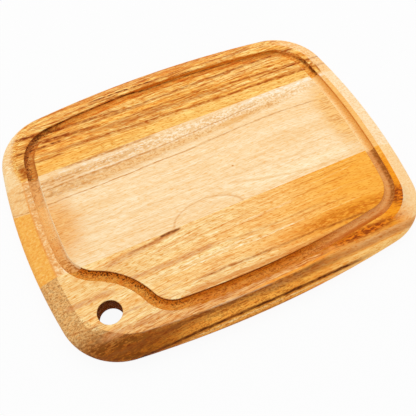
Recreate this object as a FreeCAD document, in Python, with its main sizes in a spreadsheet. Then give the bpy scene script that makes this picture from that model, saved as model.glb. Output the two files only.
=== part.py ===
import FreeCAD, Part
import math
import os
import Sketcher

# Steak board: three planks glued edge to edge, with a bevelled and rounded rim, a juice groove
# that runs round the top, and a hanging hole in the front left corner that the groove sweeps past.
# Millimetres. X runs along the length and the grain, Y from front to back, Z up.
# The origin is the middle of the underside.

SIZES = [
    # Overall size, at the widest line of the rim
    ("board_length", 356.0),
    ("board_depth", 278.5),
    ("board_thickness", 19.5),
    # Outline: gently bowed ends and sides, joined by round corners
    ("edge_corner", 54.0),
    ("edge_end_bow", 553.5),
    ("edge_side_bow", 976.0),
    # Rim: a bevel from the crest line out to the wall, rounded into it, with a thin flat of wall
    # left between that round and the rounded underside
    ("rim_width", 16.1),
    ("rim_drop", 6.6),
    ("rim_round", 6.6),
    ("wall_flat", 0.3),
    # Planks: the middle one takes the rest of the depth
    ("back_plank_width", 78.5),
    ("front_plank_width", 97.5),
    # Hanging hole, in from the left end and the front edge, with its rims broken
    ("hole_inset_x", 46.9),
    ("hole_inset_y", 49.6),
    ("hole_radius", 10.6),
    ("hole_break", 0.4),
    # Juice groove: half-round, a land inside the crest line, routed a little off centre
    ("groove_radius", 4.8),
    ("groove_lip", 0.4),
    ("land_width", 5.7),
    ("groove_shift_x", 0.7),
    ("groove_shift_y", 1.5),
    ("groove_corner", 32.8),
    ("groove_end_bow", 561.7),
    ("groove_side_bow", 846.0),
    # Sweep of the groove past the hole: its centre lies beyond the hole, towards the corner
    ("hole_land", 14.2),
    ("sweep_beyond_x", 26.7),
    ("sweep_beyond_y", 24.3),
    ("sweep_left_radius", 34.5),
    ("sweep_front_radius", 26.3),
    # How far a cutting shape runs past the surface that it cuts
    ("cut_past", 1.0),
]

# What follows from the sizes above. The blank is the board before its rim is cut.
DERIVED = [
    ("edge_half_length", "board_length / 2"),
    ("edge_half_depth", "board_depth / 2"),
    ("blank_half_length", "edge_half_length + cut_past"),
    ("blank_half_depth", "edge_half_depth + cut_past"),
    ("blank_corner", "edge_corner + cut_past"),
    ("blank_end_bow", "edge_end_bow + cut_past"),
    ("blank_side_bow", "edge_side_bow + cut_past"),
    ("wall_height", "board_thickness - rim_drop"),
    ("round_setback", "rim_round * tan((90 deg - atan(rim_drop / rim_width)) / 2)"),
    ("under_round", "wall_height - round_setback - wall_flat"),
    ("bevel_reach", "edge_half_length - rim_width - cut_past * rim_width / rim_drop"),
    ("groove_half_length", "edge_half_length - rim_width - land_width - groove_radius"),
    ("groove_half_depth", "edge_half_depth - rim_width - land_width - groove_radius"),
    ("hole_x", "hole_inset_x - edge_half_length"),
    ("hole_y", "hole_inset_y - edge_half_depth"),
    ("sweep_x", "hole_x - sweep_beyond_x - groove_shift_x"),
    ("sweep_y", "hole_y - sweep_beyond_y - groove_shift_y"),
    ("sweep_offset", "sqrt(sweep_beyond_x ^ 2 + sweep_beyond_y ^ 2)"),
    ("sweep_radius", "sweep_offset + hole_radius + hole_land + groove_radius"),
]

# An arc's or a line's start and end, an arc's centre, and the sketch's origin, as the sketcher
# numbers them
START = 1
END = 2
CENTRE = 3
ORIGIN = (-1, 1)

# How close two heights or radii are to count as the same
CLOSE = 1e-6

doc = FreeCAD.newDocument("steak_board")
size = {}


def make_sheet():
    """The driving sizes, then the sums that follow from them."""
    sheet = doc.addObject("Spreadsheet::Sheet", "sizes")
    rows = [(alias, str(value)) for alias, value in SIZES]
    rows += [(alias, "=" + formula) for alias, formula in DERIVED]
    for number, (alias, content) in enumerate(rows, 1):
        sheet.set("A%d" % number, alias)
        sheet.set("B%d" % number, content)
        sheet.setAlias("B%d" % number, alias)
    doc.recompute()
    for alias, _ in rows:
        size[alias] = getattr(sheet, alias)


def point(x, y):
    return FreeCAD.Vector(x, y, 0)


def toward(start, end, distance):
    """The point at a distance from start, in the direction of end."""
    return start + (end - start).normalize() * distance


def meeting(first, first_radius, second, second_radius, side):
    """Where two circles meet, on the left (1) or right (-1) of the line between their centres."""
    line = second - first
    length = line.Length
    along = (first_radius ** 2 - second_radius ** 2 + length ** 2) / (2 * length)
    across = math.sqrt(first_radius ** 2 - along ** 2)
    unit = line / length
    return first + unit * along + point(-unit.y, unit.x) * across * side


def new_sketch(body, name, role, offset):
    """A sketch on one of the body's origin planes, moved in it and along its normal by formulas."""
    sketch = body.newObject("Sketcher::SketchObject", name)
    planes = [plane for plane in body.Origin.OriginFeatures if plane.Role == role]
    sketch.AttachmentSupport = (planes[0], [""])
    sketch.MapMode = "FlatFace"
    for axis, formula in zip("xyz", offset):
        sketch.setExpression("AttachmentOffset.Base." + axis, formula)
    return sketch


def add_arc(sketch, centre, start, end):
    """An arc counter-clockwise from start to end."""
    radius = (start - centre).Length
    first = math.atan2(start.y - centre.y, start.x - centre.x)
    last = math.atan2(end.y - centre.y, end.x - centre.x)
    if last < first:
        last += 2 * math.pi
    circle = Part.Circle(centre, FreeCAD.Vector(0, 0, 1), radius)
    return sketch.addGeometry(Part.ArcOfCircle(circle, first, last))


def relate(sketch, kind, *where):
    sketch.addConstraint(Sketcher.Constraint(kind, *where))


def drive(sketch, name, formula, kind, *where):
    """A dimension that the sheet drives, added at the value that it has as drawn."""
    if kind == "Radius":
        value = sketch.Geometry[where[0]].Radius
    else:
        gap = sketch.getPoint(*where[2:]) - sketch.getPoint(*where[:2])
        value = gap.x if kind == "DistanceX" else gap.y
    index = sketch.addConstraint(Sketcher.Constraint(kind, *where, value))
    sketch.renameConstraint(index, name)
    sketch.setExpression("Constraints." + name, formula)


def place(sketch, name, where, x_formula, y_formula):
    """Drives a point of the sketch from its origin."""
    drive(sketch, name + "_x", x_formula, "DistanceX", *ORIGIN, *where)
    drive(sketch, name + "_y", y_formula, "DistanceY", *ORIGIN, *where)


def frame_centres(frame):
    """Centres of the four bowed sides and the four corners of a rounded frame."""
    half_length = size[frame + "_half_length"]
    half_depth = size[frame + "_half_depth"]
    corner = size[frame + "_corner"]
    end_bow = size[frame + "_end_bow"]
    side_bow = size[frame + "_side_bow"]
    centre = {
        "right": point(half_length - end_bow, 0),
        "left": point(end_bow - half_length, 0),
        "back": point(0, half_depth - side_bow),
        "front": point(0, side_bow - half_depth),
    }
    for side, end, hand in (("back", "right", -1), ("back", "left", 1),
                            ("front", "left", -1), ("front", "right", 1)):
        centre[side + "_" + end] = meeting(
            centre[side], side_bow - corner, centre[end], end_bow - corner, hand
        )
    centre["right_lower"] = centre["right"]
    return centre


def frame_runs(frame, centre):
    """The arcs of a rounded frame and where each one ends, counter-clockwise from the right."""
    end_bow = size[frame + "_end_bow"]
    side_bow = size[frame + "_side_bow"]
    return {
        "right": toward(centre["right"], centre["back_right"], end_bow),
        "back_right": toward(centre["back"], centre["back_right"], side_bow),
        "back": toward(centre["back"], centre["back_left"], side_bow),
        "back_left": toward(centre["left"], centre["back_left"], end_bow),
        "left": toward(centre["left"], centre["front_left"], end_bow),
        "front_left": toward(centre["front"], centre["front_left"], side_bow),
        "front": toward(centre["front"], centre["front_right"], side_bow),
        "front_right": toward(centre["right"], centre["front_right"], end_bow),
        "right_lower": point(size[frame + "_half_length"], 0),
    }


def draw_frame(sketch, frame, centre, runs, clockwise=()):
    """Draws arcs that run into each other, from the middle of the right side and back to it."""
    arc = {}
    start = point(size[frame + "_half_length"], 0)
    for name, end in runs.items():
        ends = (end, start) if name in clockwise else (start, end)
        arc[name] = add_arc(sketch, centre[name], *ends)
        start = end
    names = list(runs)
    for name, after in zip(names, names[1:]):
        relate(
            sketch, "Tangent",
            arc[name], START if name in clockwise else END,
            arc[after], END if after in clockwise else START
        )
    relate(sketch, "Coincident", arc["right_lower"], CENTRE, arc["right"], CENTRE)
    relate(sketch, "Coincident", arc["right_lower"], END, arc["right"], START)
    relate(sketch, "Horizontal", arc["right"], CENTRE, arc["right"], START)
    for name in ("back_left", "front_left", "front_right"):
        if name in arc:
            relate(sketch, "Equal", arc["back_right"], arc[name])
    relate(sketch, "Equal", arc["right"], arc["left"])
    relate(sketch, "Equal", arc["back"], arc["front"])
    drive(sketch, "corner", "sizes.%s_corner" % frame, "Radius", arc["back_right"])
    drive(sketch, "end_bow", "sizes.%s_end_bow" % frame, "Radius", arc["right"])
    drive(sketch, "side_bow", "sizes.%s_side_bow" % frame, "Radius", arc["back"])
    end_reach = "(sizes.{0}_half_length - sizes.{0}_end_bow)".format(frame)
    side_reach = "(sizes.{0}_half_depth - sizes.{0}_side_bow)".format(frame)
    place(sketch, "right", (arc["right"], CENTRE), end_reach, "0")
    place(sketch, "left", (arc["left"], CENTRE), "-" + end_reach, "0")
    place(sketch, "back", (arc["back"], CENTRE), "0", side_reach)
    place(sketch, "front", (arc["front"], CENTRE), "0", "-" + side_reach)
    return arc


def draw_outline(body, frame):
    """The board's widest outline, or the blank's, on the underside."""
    sketch = new_sketch(body, frame + "_outline", "XY_Plane", ("0", "0", "0"))
    centre = frame_centres(frame)
    draw_frame(sketch, frame, centre, frame_runs(frame, centre))
    return sketch


def edges_where(shape, test):
    return ["Edge%d" % number for number, edge in enumerate(shape.Edges, 1) if test(edge)]


def level(edge, height):
    """Whether an edge lies flat at a height."""
    box = edge.BoundBox
    return abs(box.ZMin - height) < CLOSE and abs(box.ZMax - height) < CLOSE


def make_blank(body):
    """The full thickness of wood, sawn a little outside the outline."""
    outline = draw_outline(body, "blank")
    blank = body.newObject("PartDesign::Pad", "blank")
    blank.Profile = outline
    blank.setExpression("Length", "sizes.board_thickness")
    doc.recompute()


def draw_lines(sketch, corners):
    """Straight lines from corner to corner, each joined to the next."""
    lines = [sketch.addGeometry(Part.LineSegment(*ends)) for ends in zip(corners, corners[1:])]
    for line, after in zip(lines, lines[1:]):
        relate(sketch, "Coincident", line, END, after, START)
    return lines


def draw_rim_section(body):
    """What the rim's cutter takes off, across the middle of the right side."""
    sketch = new_sketch(body, "rim_section", "XZ_Plane", ("0", "0", "0"))
    past = size["cut_past"]
    radius = size["rim_round"]
    edge = size["edge_half_length"]
    top = size["board_thickness"] + past
    outside = edge + 2 * past
    centre = point(edge - radius, size["wall_height"] - size["round_setback"])
    slope = math.atan(size["rim_drop"] / size["rim_width"])
    bevel_end = centre + point(math.sin(slope), math.cos(slope)) * radius
    bevel_start = point(size["bevel_reach"], top)
    wall_start = centre + point(radius, 0)
    corners = [
        wall_start, point(edge, -past), point(outside, -past), point(outside, top), bevel_start, bevel_end
    ]
    wall, bottom, outer, cover, bevel = draw_lines(sketch, corners)
    arc = add_arc(sketch, centre, wall_start, bevel_end)
    relate(sketch, "Tangent", bevel, END, arc, END)
    relate(sketch, "Tangent", arc, START, wall, START)
    relate(sketch, "Vertical", wall)
    relate(sketch, "Vertical", outer)
    relate(sketch, "Horizontal", bottom)
    relate(sketch, "Horizontal", cover)
    drive(sketch, "radius", "sizes.rim_round", "Radius", arc)
    place(
        sketch, "round", (arc, CENTRE),
        "sizes.edge_half_length - sizes.rim_round", "sizes.wall_height - sizes.round_setback"
    )
    place(sketch, "bevel", (bevel, START), "sizes.bevel_reach", "sizes.board_thickness + sizes.cut_past")
    place(sketch, "outside", (outer, START), "sizes.edge_half_length + 2 * sizes.cut_past", "-sizes.cut_past")
    return sketch


def sweep_cut(body, name, section, path):
    """Takes away what a section sweeps as it follows a closed path."""
    doc.recompute()
    cut = body.newObject("PartDesign::SubtractivePipe", name)
    cut.Profile = section
    cut.Spine = (path, edges_where(path.Shape, lambda edge: True))
    doc.recompute()


def shape_rim(body):
    """The bevel round the top, the round into the wall and the rounded underside."""
    sweep_cut(body, "rim", draw_rim_section(body), draw_outline(body, "edge"))
    rim = body.Tip
    under_round = body.newObject("PartDesign::Fillet", "under_round")
    under_round.Base = (rim, edges_where(rim.Shape, lambda edge: level(edge, 0)))
    under_round.setExpression("Radius", "sizes.under_round")
    doc.recompute()


def draw_groove_path(body):
    """The groove's centre line on the top, with its sweep past the hanging hole."""
    sketch = new_sketch(
        body, "groove_path", "XY_Plane",
        ("sizes.groove_shift_x", "sizes.groove_shift_y", "sizes.board_thickness")
    )
    end_bow = size["groove_end_bow"]
    side_bow = size["groove_side_bow"]
    sweep = size["sweep_radius"]
    near_left = size["sweep_left_radius"]
    near_front = size["sweep_front_radius"]
    centre = frame_centres("groove")
    centre["sweep"] = point(size["sweep_x"], size["sweep_y"])
    centre["sweep_left"] = meeting(
        centre["left"], end_bow - near_left, centre["sweep"], sweep + near_left, -1
    )
    centre["sweep_front"] = meeting(
        centre["front"], side_bow - near_front, centre["sweep"], sweep + near_front, 1
    )
    ends = frame_runs("groove", centre)
    ends["left"] = toward(centre["left"], centre["sweep_left"], end_bow)
    ends["sweep_left"] = toward(centre["sweep"], centre["sweep_left"], sweep)
    ends["sweep"] = toward(centre["sweep"], centre["sweep_front"], sweep)
    ends["sweep_front"] = toward(centre["front"], centre["sweep_front"], side_bow)
    order = [
        "right", "back_right", "back", "back_left", "left", "sweep_left", "sweep", "sweep_front",
        "front", "front_right", "right_lower"
    ]
    runs = {name: ends[name] for name in order}
    arc = draw_frame(sketch, "groove", centre, runs, clockwise=("sweep",))
    drive(sketch, "sweep", "sizes.sweep_radius", "Radius", arc["sweep"])
    drive(sketch, "sweep_left", "sizes.sweep_left_radius", "Radius", arc["sweep_left"])
    drive(sketch, "sweep_front", "sizes.sweep_front_radius", "Radius", arc["sweep_front"])
    place(sketch, "sweep_centre", (arc["sweep"], CENTRE), "sizes.sweep_x", "sizes.sweep_y")
    return sketch


def draw_groove_section(body):
    """The half-round of the groove with its broken edges, across the middle of the right run."""
    sketch = new_sketch(
        body, "groove_section", "XZ_Plane",
        ("sizes.groove_shift_x", "sizes.board_thickness", "-sizes.groove_shift_y")
    )
    centre = point(size["groove_half_length"], 0)
    radius = size["groove_radius"]
    lip = size["groove_lip"]
    rise = lip + size["cut_past"]
    half = math.sqrt(radius ** 2 - lip ** 2)
    left_low = centre + point(-half, -lip)
    right_low = centre + point(half, -lip)
    corners = [left_low, left_low + point(-rise, rise), right_low + point(rise, rise), right_low]
    left, _, right = draw_lines(sketch, corners)
    arc = add_arc(sketch, centre, left_low, right_low)
    relate(sketch, "Coincident", arc, START, left, START)
    relate(sketch, "Coincident", right, END, arc, END)
    place(sketch, "middle", (arc, CENTRE), "sizes.groove_half_length", "0")
    drive(sketch, "radius", "sizes.groove_radius", "Radius", arc)
    drive(sketch, "left_lip", "-sizes.groove_lip", "DistanceY", arc, CENTRE, arc, START)
    drive(sketch, "right_lip", "-sizes.groove_lip", "DistanceY", arc, CENTRE, arc, END)
    rise_formula = "sizes.groove_lip + sizes.cut_past"
    drive(sketch, "left_out", "-(" + rise_formula + ")", "DistanceX", left, START, left, END)
    drive(sketch, "left_up", rise_formula, "DistanceY", left, START, left, END)
    drive(sketch, "right_out", rise_formula, "DistanceX", right, END, right, START)
    drive(sketch, "right_up", rise_formula, "DistanceY", right, END, right, START)
    return sketch


def cut_hole(body):
    """The hanging hole, straight through, with both rims broken."""
    sketch = new_sketch(body, "hole_circle", "XY_Plane", ("0", "0", "sizes.board_thickness"))
    centre = point(size["hole_x"], size["hole_y"])
    circle = sketch.addGeometry(Part.Circle(centre, FreeCAD.Vector(0, 0, 1), size["hole_radius"]))
    drive(sketch, "radius", "sizes.hole_radius", "Radius", circle)
    place(sketch, "hole", (circle, CENTRE), "sizes.hole_x", "sizes.hole_y")
    hole = body.newObject("PartDesign::Pocket", "hanging_hole")
    hole.Profile = sketch
    hole.Type = "ThroughAll"
    doc.recompute()

    def is_rim(edge):
        round_edge = isinstance(edge.Curve, Part.Circle)
        return round_edge and abs(edge.Curve.Radius - size["hole_radius"]) < CLOSE

    rims = body.newObject("PartDesign::Chamfer", "hole_rims")
    rims.Base = (hole, edges_where(hole.Shape, is_rim))
    rims.setExpression("Size", "sizes.hole_break")
    doc.recompute()


def cut_plank(body, label, front_line, width):
    """One plank: what of the board lies between two lines across its depth."""
    slab = doc.addObject("Part::Box", label + "_slab")
    slab.setExpression("Length", "sizes.board_length + 2 * sizes.cut_past")
    slab.setExpression("Width", width)
    slab.setExpression("Height", "sizes.board_thickness + 2 * sizes.cut_past")
    slab.setExpression("Placement.Base.x", "-sizes.board_length / 2 - sizes.cut_past")
    slab.setExpression("Placement.Base.y", front_line)
    slab.setExpression("Placement.Base.z", "-sizes.cut_past")
    plank = doc.addObject("Part::Common", label)
    plank.Label = label
    plank.Base = body
    plank.Tool = slab
    plank.Placement = FreeCAD.Placement()
    return plank


make_sheet()
board = doc.addObject("PartDesign::Body", "board")
make_blank(board)
shape_rim(board)
sweep_cut(board, "juice_groove", draw_groove_section(board), draw_groove_path(board))
cut_hole(board)
planks = [
    cut_plank(
        board, "back_stave", "sizes.board_depth / 2 - sizes.back_plank_width",
        "sizes.back_plank_width + sizes.cut_past"
    ),
    cut_plank(
        board, "middle_stave", "sizes.front_plank_width - sizes.board_depth / 2",
        "sizes.board_depth - sizes.front_plank_width - sizes.back_plank_width"
    ),
    cut_plank(
        board, "front_stave", "-sizes.board_depth / 2 - sizes.cut_past",
        "sizes.front_plank_width + sizes.cut_past"
    ),
]
doc.recompute()

for item in doc.Objects:
    faults = [state for state in item.State if state in ("Invalid", "Error")]
    if faults:
        raise RuntimeError("%s is %s" % (item.Label, faults[0]))
for cut in board.Group:
    if cut.isDerivedFrom("PartDesign::Feature") and cut.BaseFeature:
        if cut.Shape.Volume >= cut.BaseFeature.Shape.Volume:
            raise RuntimeError("%s takes no wood away" % cut.Label)
for plank in planks:
    if plank.Shape.isNull() or not plank.Shape.isValid():
        raise RuntimeError("%s has no valid shape" % plank.Label)

os.makedirs("parts", exist_ok=True)
for plank in planks:
    plank.Shape.exportStep("parts/%s.step" % plank.Label)
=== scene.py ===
import bpy
import math
from mathutils import Matrix, Vector


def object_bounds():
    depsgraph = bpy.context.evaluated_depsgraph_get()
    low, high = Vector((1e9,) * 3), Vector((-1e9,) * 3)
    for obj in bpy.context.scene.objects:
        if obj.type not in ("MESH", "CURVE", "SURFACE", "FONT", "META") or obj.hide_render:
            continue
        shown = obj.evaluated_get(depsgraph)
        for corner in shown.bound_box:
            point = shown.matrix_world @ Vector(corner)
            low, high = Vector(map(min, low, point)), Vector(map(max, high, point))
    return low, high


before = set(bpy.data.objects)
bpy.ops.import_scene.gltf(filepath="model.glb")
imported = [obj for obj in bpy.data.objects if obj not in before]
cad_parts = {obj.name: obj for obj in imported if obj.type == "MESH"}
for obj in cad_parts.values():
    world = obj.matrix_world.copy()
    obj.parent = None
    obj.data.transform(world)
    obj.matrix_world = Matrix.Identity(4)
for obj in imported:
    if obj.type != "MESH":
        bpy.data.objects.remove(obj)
cad_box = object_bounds()

# Steak board of three glued planks. Places on it are in millimetres, in the row's frame:
# x along the grain, y from front to back, z up from the underside.
MM = 0.001
TOP = cad_box[1].z / MM
HALF_LENGTH = cad_box[1].x / MM
HALF_DEPTH = cad_box[1].y / MM

# The crest line round the top, where the rim starts to fall: how far in it lies, how its ends and
# sides bow, and its corners
CREST_INSET = 16.1
CREST_END_BOW = 537.0
CREST_SIDE_BOW = 960.0
CREST_CORNER = 38.0

# The hanging hole
HOLE_CENTRE = (-131.1, -89.65, 0.0)
HOLE_RADIUS = 10.6

# How far outside the crest line each mask starts and is full. Inside the line these are negative.
LAND = (-8, -7)
RIM = (-0.6, 0.4)
END_GRAIN = (-1.2, -0.2)
WELL_INSIDE = (-2.2, -3.2)

# Size of the features in the wood, in millimetres along the grain, across it and down
BAND_SIZE = (260, 8, 10)
LINE_SIZE = (70, 1.8, 2.2)
DASH_SIZE = (30, 1.3, 1.5)
FIBRE_SIZE = (18, 1.1, 1.2)
MOTTLE_SIZE = (6, 2.2, 3)
PORE_SIZE = (5, 0.9, 0.9)
SPECK_SIZE = (1.5, 1.3, 1.4)
PEBBLE_SIZE = (2.2, 1.7, 3)
SQUIGGLE_SIZE = (4, 1.1, 4)
HATCH_SIZE = (3.5, 1.6, 3.5)
CURL_SIZE = (5, 9, 9)
CURL_SLANT = 1.3
# The grain wavers by these, each as the size of its waves and how far it moves to and fro
WAVERS = (((110, 60, 60), 5.0), ((22, 9, 9), 1.8), ((5, 3, 3), 1.0))

# How strongly the middle bands and the end grain show, how much the wood shines, and how strong
# and how high its fine bumps are, the height in millimetres
BAND_SHARE = 0.8
END_SHARE = 0.85
SHEEN = 0.06
BUMP_SHARE = 0.3
BUMP_HEIGHT = 0.15

# The back plank's grain fans out to the right from here, by this share for each millimetre
FAN_START_X = -60
FAN_MIDDLE_V = 97
FAN_GROWTH = 0.0025
# The front plank's grain sags to both sides of this place, on a curve of this radius
SAG_PEAK_X = 10
SAG_RADIUS = 1375

# Colours of each plank by what they colour, as they look in even white light. Some also carry painted light
# or shade, as said where they are used
BACK_COLOURS = {
    "light bands": (255, 210, 124),
    "middle bands": (254, 188, 84),
    "thin lines": (210, 116, 24),
    "dashes": (190, 92, 10),
    "pores": (234, 200, 140),
    "strip at the glue line": (255, 208, 116),
    "left of the strip": (252, 182, 76),
    "left band": (252, 174, 68),
    "right band": (255, 210, 128),
    "back rim": (228, 152, 74),
    "left end": (255, 224, 172),
    "right end": (252, 210, 152),
    "rust streaks": (186, 96, 18),
    "brown streaks": (160, 86, 26),
    "beside brown streaks": (206, 122, 48),
    "dark streaks": (108, 46, 2),
    "beside dark streaks": (200, 98, 14),
    "blotches beside the right run": (200, 104, 20),
    "right land": (196, 112, 26),
    "left land": (178, 94, 20),
    "groove": (255, 244, 220),
    "outer wall": (238, 162, 66),
    "back wall": (214, 126, 24),
    "top of the back wall": (252, 186, 84),
    "streak and painted shade on the back wall": (100, 44, 2),
    "blotches in the left corner": (92, 40, 4),
    "painted shade in the right corner": (112, 54, 8),
    "right inner wall": (232, 168, 88),
    "left inner wall": (228, 146, 60),
    "left run": (196, 122, 60),
    "specks in the groove": (84, 38, 4),
    "painted highlight on the inner lip": (255, 232, 180)
}
MIDDLE_COLOURS = {
    "light bands": (253, 219, 168),
    "middle bands": (255, 230, 188),
    "thin lines": (240, 192, 128),
    "pores": (252, 236, 210),
    "left glow": (246, 184, 108),
    "right glow": (254, 206, 130),
    "fibres in the glow": (224, 150, 74),
    "spots in the glow": (255, 218, 152),
    "pale front": (255, 234, 192),
    "right land": (250, 190, 104),
    "left land": (244, 186, 116),
    "dark pebbles on the left land": (224, 152, 82),
    "pale pebbles on the left land": (255, 222, 172),
    "mottled strip": (240, 192, 130),
    "dark mottle": (204, 146, 86),
    "pale mottle": (255, 232, 194),
    "faint dark pebbles": (228, 180, 122),
    "faint pale pebbles": (255, 244, 222),
    "rising band": (246, 202, 142),
    "pebbles in the rising band": (224, 168, 104),
    "patch on the rising band": (240, 186, 116),
    "left end": (252, 186, 88),
    "back of the left end": (250, 208, 148),
    "dark pebbles on the left end": (238, 162, 60),
    "pale pebbles on the left end": (255, 214, 140),
    "right end": (254, 228, 186),
    "tan streaks": (206, 136, 62),
    "faint streak": (242, 188, 116),
    "pale streaks": (255, 246, 226),
    "growth ring": (224, 158, 86),
    "small knot": (212, 132, 46),
    "groove": (255, 250, 244),
    "painted highlight on the inner lip": (255, 234, 190),
    "left run": (242, 190, 118),
    "left inner wall": (254, 210, 146),
    "painted highlight on the top of the left inner wall": (255, 230, 180),
    "specks in the left run": (184, 116, 48),
    "back of the left run": (230, 168, 100),
    "spots at the back of the left run": (176, 104, 40),
    "front of the left run": (222, 146, 64),
    "spots at the front of the left run": (186, 114, 40),
    "painted light on the inner side of the right run": (255, 226, 168),
    "painted shade on the outer side of the right run": (240, 178, 96),
    "painted shade on the outer edge of the right run": (214, 130, 44),
    "left crest": (238, 158, 66)
}
FRONT_COLOURS = {
    "light bands": (255, 224, 160),
    "middle bands": (255, 210, 136),
    "thin lines": (236, 156, 76),
    "dashes": (216, 136, 68),
    "pores": (240, 210, 160),
    "right half": (252, 174, 48),
    "right band": (246, 156, 30),
    "blotches in the right band": (214, 120, 16),
    "left back": (244, 194, 122),
    "front strip": (234, 158, 80),
    "right land": (246, 154, 22),
    "stains": (234, 130, 22),
    "blotches in the stains": (156, 70, 4),
    "left end": (238, 184, 114),
    "squiggles on the left end": (200, 136, 72),
    "right end": (254, 222, 168),
    "rim": (248, 168, 64),
    "upper rim at the right": (232, 168, 100),
    "lower rim at the right": (254, 204, 124),
    "left corner of the rim": (172, 96, 16),
    "blotches in the left corner": (120, 62, 6),
    "lines along the rim": (144, 78, 26),
    "line on the rim at the right": (196, 128, 64),
    "pale line on the wall": (252, 200, 126),
    "dark line on the rim": (84, 34, 0),
    "beside the dark line": (184, 104, 30),
    "dots on the rim": (120, 68, 20),
    # A painted highlight: the pale line where the crest catches the light
    "painted highlight on the crest": (224, 190, 150),
    "rose streaks": (218, 150, 92),
    "brown streaks": (180, 100, 28),
    "orange streaks": (230, 150, 66),
    "pale streaks": (255, 234, 186),
    "dark streak": (104, 54, 24),
    "beside the dark streak": (204, 122, 52),
    "streak beside the groove": (222, 142, 62),
    "golden streaks": (255, 206, 120),
    "rust streaks": (214, 124, 30),
    "middle of the land": (236, 144, 52),
    "dark fibres on the land": (196, 112, 46),
    "pale fibres on the land": (255, 214, 152),
    "land at the crest": (252, 166, 60),
    "groove": (250, 232, 196),
    "left of the groove": (228, 146, 56),
    "right of the groove": (236, 172, 100),
    "outer half at the right": (196, 106, 26),
    "inner side at the left": (226, 138, 40),
    "painted shade on the left of the inner wall": (212, 120, 22),
    "inner edge": (122, 56, 4),
    "dots in the groove": (130, 66, 8),
    "outer edge": (176, 96, 22),
    "painted shade on the right of the outer wall": (172, 106, 40),
    "sweep": (236, 162, 66),
    "pebbles in the sweep": (220, 142, 54),
    "specks in the sweep": (84, 44, 8),
    "line on the land": (204, 114, 18),
    "hole": (178, 104, 36),
    "spots in the hole": (110, 54, 10)
}


def linear(colour):
    """A screen colour of 0 to 255 as the linear colour that a shader takes."""
    parts = [part / 255 for part in colour]
    return [part / 12.92 if part <= 0.04045 else ((part + 0.055) / 1.055) ** 2.4 for part in parts] + [1.0]


class Graph:
    """Short calls for the nodes of one material. Most return a socket that carries their result."""

    def __init__(self, name):
        self.material = bpy.data.materials.new(name)
        self.material.use_nodes = True
        self.nodes = self.material.node_tree.nodes
        self.links = self.material.node_tree.links
        self.shader = self.nodes["Principled BSDF"]

    def feed(self, socket, value):
        if isinstance(value, bpy.types.NodeSocket):
            self.links.new(value, socket)
        else:
            socket.default_value = value

    def add(self, kind, values=(), **settings):
        node = self.nodes.new(kind)
        for name, value in settings.items():
            setattr(node, name, value)
        for socket, value in zip(node.inputs, values):
            self.feed(socket, value)
        return node

    def math(self, operation, *values, clamp=False):
        return self.add("ShaderNodeMath", values, operation=operation, use_clamp=clamp).outputs[0]

    def both(self, *masks):
        """What is in all the masks."""
        mask = masks[0]
        for other in masks[1:]:
            mask = self.math("MULTIPLY", mask, other)
        return mask

    def either(self, *masks):
        """What is in any of the masks."""
        mask = masks[0]
        for other in masks[1:]:
            mask = self.math("MAXIMUM", mask, other)
        return mask

    def opposite(self, mask):
        return self.math("SUBTRACT", 1.0, mask)

    def away(self, value, line):
        """How far a value lies from that of a line, to either side."""
        return self.math("ABSOLUTE", self.math("SUBTRACT", value, line))

    def smooth(self, value, low, high, bottom=0.0, top=1.0):
        """Eases from bottom to top as the value goes from low to high."""
        ease = self.add("ShaderNodeMapRange", (value, low, high, bottom, top))
        ease.interpolation_type = "SMOOTHSTEP"
        return ease.outputs[0]

    def band(self, value, start, full, fading, end):
        """A mask that is full between two values and fades out to both sides of them."""
        return self.both(self.smooth(value, start, full), self.smooth(value, end, fading))

    def mix(self, factor, first, second, blend="MIX"):
        node = self.add("ShaderNodeMix", data_type="RGBA", blend_type=blend)
        self.feed(node.inputs[0], factor)
        self.feed(node.inputs[6], first)
        self.feed(node.inputs[7], second)
        return node.outputs[2]

    def join(self, x, y, z):
        return self.add("ShaderNodeCombineXYZ", (x, y, z)).outputs[0]

    def vector(self, operation, *values):
        return self.add("ShaderNodeVectorMath", values, operation=operation).outputs[0]

    def measure(self, operation, *values):
        """A number from vectors, such as a length or a distance."""
        return self.add("ShaderNodeVectorMath", values, operation=operation).outputs["Value"]

    def noise(self, place, size, detail=2.0, roughness=0.5):
        """Noise from 0 to 1 whose features have about the given size along each axis."""
        node = self.add("ShaderNodeTexNoise")
        self.feed(node.inputs["Vector"], self.vector("DIVIDE", place, size))
        self.feed(node.inputs["Scale"], 1.0)
        self.feed(node.inputs["Detail"], detail)
        self.feed(node.inputs["Roughness"], roughness)
        return node.outputs["Fac"]


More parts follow.
